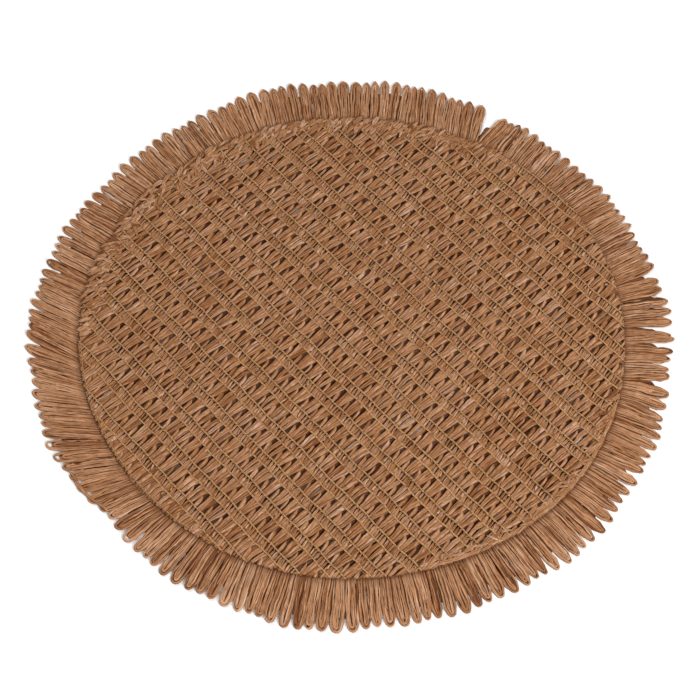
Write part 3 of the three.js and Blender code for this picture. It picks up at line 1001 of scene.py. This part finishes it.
edging = {
    "tapeWidth": 9.0,
    "tapeInset": 1.0,
    "tapeThickness": 0.3,
    "tapeHeight": 0.2,
    "tapeStep": 0.35,         # how much higher its last end lies, on its first
    "tapeStart": -1.5,        # in radians, like the overlap
    "tapeOverlap": 0.05,
    "stitchInset": 1.9,
    "stitchLength": 3.2,
    "stitchRadius": (0.3, 0.06),        # and how much it swells in every stitch
    "stitchHeight": (0.5, 0.16),        # above the hem, and how much it rises
    "stitchStep": 0.9,
    "stitchWander": [(0.12, 0.21), (0.15, 0.047)],                # in and out: mm, and how often
    "stitchSpans": [(184, 243), (296, 352)],                      # from and to, in degrees
    "bandSpans": [(285, 299), (296, 311), (309, 322), (319, 333), (331, 344)],
    "bandHalfWidth": 1.3,
    "bandThickness": 0.24,
    "bandStep": 0.7,          # degrees
    "bandInset": 1.5,
    "bandDrop": 0.5,          # below the top of the hem
    "bandWaves": (0.25, 31, 0.1, 47),     # in and out, how often; wider and narrower, how often
    "bandTuck": (1.8, 0.65),  # how far in and how far down the ends of each go
}
hemTop = weave["middleHeight"] + weave["hemLift"]

# folded ends of strips: count, from and to in degrees, how far past the edge their tips lie, longest,
# half of the widest, heights along them and how much they scatter
endColumns = ("count", "span", "tips", "longest", "widest", "rise", "scatter")
stripEnds = [dict(zip(endColumns, row)) for row in [
    # some poke out over the roots of the fringe
    (84, (56, 184), (-0.8, 3.4), 10.5, 1.9, (2.3, 3.0, 3.05, 2.8, 2.4), 0.22),
    # more of them lie inside the edge like scales
    (210, (62, 172), (-7.5, -0.6), 9, 1.5, (1.9, 2.7, 2.85, 2.7, 2.3), 0.4),
    # and these lie along it, where the weave's own direction follows it
    (44, (284, 344), (-4.2, 0.2), 10, 1.2, (1.9, 2.7, 2.8, 2.7, 2.3), 0.3),
]]
endHabit = {
    "placeSpread": 0.6,       # degrees
    "outShare": 0.35,         # how much an end points outwards beside the weave's own direction
    "wayShare": (0.6, 1.3),
    "lengths": (0.65, 1),
    "heightSpread": 0.14,
    "widths": (0.6, 1),
    "taper": (0.55, 0.85, 1.0, 0.8, 0.15),
    "thickness": 0.34,
    "rollSpread": 0.2,
    "tone": (0.6, 0.3),
}


def layTape(rng):
    overlap, start = edging["tapeOverlap"], edging["tapeStart"]
    turn = np.linspace(start, start + 2 * np.pi + overlap, 200)
    middle = edgeRadius(turn) - edging["tapeInset"] - edging["tapeWidth"] / 2
    onItself = smoothStep((turn - turn[-1] + 1.5 * overlap) / (0.5 * overlap))
    path = roundMiddle(middle, turn, edging["tapeHeight"] + edging["tapeStep"] * onItself)[None]
    half = np.full((1, len(turn)), edging["tapeWidth"] / 2)
    thick = np.full((1, len(turn)), edging["tapeThickness"] / 2)
    return sweep(path, half, thick, thinSection, rng), half[:, 0], np.array([0.3]), thinSection[:, 2]


def layHemThread(rng, low, high):
    # low, high: where it starts and ends, in degrees
    radius = discEdge["radius"]
    along = np.arange(math.radians(low), math.radians(high), edging["stitchStep"] / radius) * radius
    turn = along / radius
    stitch = np.cos(2 * np.pi * along / edging["stitchLength"])
    middle = edgeRadius(turn) - edging["stitchInset"]
    for size, often in edging["stitchWander"]:
        middle = middle + size * np.sin(along * often)
    (thin, swell), (lift, rise) = edging["stitchRadius"], edging["stitchHeight"]
    path = roundMiddle(middle, turn, hemTop + lift + rise * stitch)[None]
    half = (thin + swell * stitch)[None]
    # painted shade where each stitch dips, lighter where it rises
    openness = roundSection[:, 2] * (0.8 + 0.2 * stitch[:, None])
    return sweep(path, half, half, roundSection, rng), np.array([0.32]), np.array([0.55]), openness


def layBand(rng, low, high):
    # the last folded strip, which lies along the edge where the weave's own direction follows it
    turn = np.radians(np.arange(low, high, edging["bandStep"]))
    share = np.linspace(0, 1, len(turn))
    tuck = smoothStep(8 * np.minimum(share, 1 - share))       # 0 at its ends, where it goes under
    inwards, down = edging["bandTuck"]
    stray, strayOften, swell, swellOften = edging["bandWaves"]
    middle = edgeRadius(turn) - edging["bandInset"] + stray * np.sin(turn * strayOften)
    path = roundMiddle(middle - inwards * (1 - tuck), turn, hemTop - edging["bandDrop"] + down * tuck)[None]
    half = (edging["bandHalfWidth"] * (0.7 + 0.3 * tuck) * (1 + swell * np.sin(turn * swellOften)))[None]
    thick = np.full((1, len(turn)), edging["bandThickness"])
    points = sweep(path, half, thick, foldedSection, rng, 0.7)
    return points, half.mean(1), np.array([0.6]), foldedSection[:, 2]


def layStripEnds(rng, ends):
    habit, count, stations = endHabit, ends["count"], len(ends["rise"])
    places = np.linspace(*ends["span"], count) + rng.normal(0, habit["placeSpread"], count)
    places = np.radians(places)
    out = np.stack([np.cos(places), np.sin(places)], -1)
    way = np.array([math.cos(acrossAngle), math.sin(acrossAngle)])
    outShare = habit["outShare"]
    along = way * rng.uniform(*habit["wayShare"], (count, 1)) * np.sign(out @ way + outShare)[:, None]
    direction = out * outShare + along + rng.normal(0, ends["scatter"], (count, 2))
    direction /= np.linalg.norm(direction, axis=1, keepdims=True)
    tip = out * (edgeRadius(places) + rng.uniform(*ends["tips"], count))[:, None]
    back = np.linspace(1, 0, stations) * rng.uniform(*habit["lengths"], (count, 1)) * ends["longest"]
    plan = tip[:, None] - direction[:, None] * back[..., None]
    heights = np.array(ends["rise"]) + rng.normal(0, habit["heightSpread"], (count, 1))
    path = np.concatenate([plan, heights[..., None]], -1)
    half = rng.uniform(*habit["widths"], (count, 1)) * ends["widest"] * np.array(habit["taper"])
    thick = np.full((count, stations), habit["thickness"])
    roll = rng.normal(0, habit["rollSpread"], (count, stations))
    points = sweep(path, half, thick, foldedSection, rng, 0.6, roll)
    return points, half.mean(1), rng.normal(*habit["tone"], count).clip(0, 1.2), foldedSection[:, 2]


def buildEdging():
    rng = np.random.default_rng(31)
    tape = layTape(rng)
    threads = [layHemThread(rng, *span) for span in edging["stitchSpans"]]
    bands = [layBand(rng, *span) for span in edging["bandSpans"]]
    ends = [layStripEnds(rng, row) for row in stripEnds]
    tapePiece = makeTubes("fringe_heading_tape", [tape], fringePaper)
    threadPiece = makeTubes("hem_stitches", threads, stitchThread)
    endsPiece = makeTubes("hem_strip_ends", bands + ends, weavePaper)
    return [tapePiece, threadPiece, endsPiece]


edgePieces = buildEdging()
print("edge finished")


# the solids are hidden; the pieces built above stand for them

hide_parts("woven_disc")
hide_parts("looped_fringe")


# floor, light and camera

studio = {
    "floor": "#f4f3f2",
    "floorSize": 6.0,
    "skyStrength": 0.56,
    # place and width in metres, and power; the key shines across the strips, so that their sides
    # fall into shade
    "softboxes": {
        "key_light": ((-2.48, 2.66, 3.8), 1.8, 103),
        "fill_light": ((1.0, -1.18, 1.12), 0.72, 31),
    },
}


def buildStudio():
    mesh = bpy.data.meshes.new("floor")
    half = studio["floorSize"] / 2
    corners = [(-half, -half, 0), (half, -half, 0), (half, half, 0), (-half, half, 0)]
    mesh.from_pydata(corners, [], [(0, 1, 2, 3)])
    floor = bpy.data.objects.new("floor", mesh)
    bpy.context.scene.collection.objects.link(floor)
    material, tree = startMaterial("matt_studio_floor")
    shader = addNode(
        tree, "ShaderNodeBsdfPrincipled", {"Base Color": linear(studio["floor"]), "Roughness": 0.9})
    addNode(tree, "ShaderNodeOutputMaterial", {}, {"Surface": shader.outputs[0]})
    mesh.materials.append(material)

    world = bpy.data.worlds.new("soft_sky")
    world.use_nodes = True
    background = world.node_tree.nodes["Background"]
    background.inputs[0].default_value = (1, 1, 1, 1)
    background.inputs[1].default_value = studio["skyStrength"]
    bpy.context.scene.world = world

    for name, (place, size, power) in studio["softboxes"].items():
        lamp = bpy.data.lights.new(name, "AREA")
        lamp.shape = "DISK"
        lamp.size = size
        lamp.energy = power
        holder = bpy.data.objects.new(name, lamp)
        bpy.context.scene.collection.objects.link(holder)
        holder.location = place
        holder.rotation_euler = (-holder.location).to_track_quat("-Z", "Y").to_euler()
    bpy.context.scene.view_settings.view_transform = "Standard"


view = {
    "distance": 1.05,
    "elevation": 58.33,
    "roll": 1.774,
    "aim": (-1.5, -16.6),     # mm from the outline's centre
    "lens": 82.93,
    "sensor": 36,
}


def buildCamera():
    camera = bpy.data.cameras.new("camera")
    camera.sensor_width = view["sensor"]
    camera.lens = view["lens"]
    holder = bpy.data.objects.new("camera", camera)
    bpy.context.scene.collection.objects.link(holder)
    tilt = math.radians(view["elevation"])
    aimX, aimY = (np.array(view["aim"]) + centre) * mm
    holder.location = (aimX, aimY - view["distance"] * math.cos(tilt), view["distance"] * math.sin(tilt))
    look = Matrix.Rotation(math.pi / 2 - tilt, 3, "X") @ Matrix.Rotation(math.radians(view["roll"]), 3, "Z")
    holder.rotation_euler = look.to_euler()
    bpy.context.scene.camera = holder


buildStudio()
buildCamera()
print("studio and camera set")
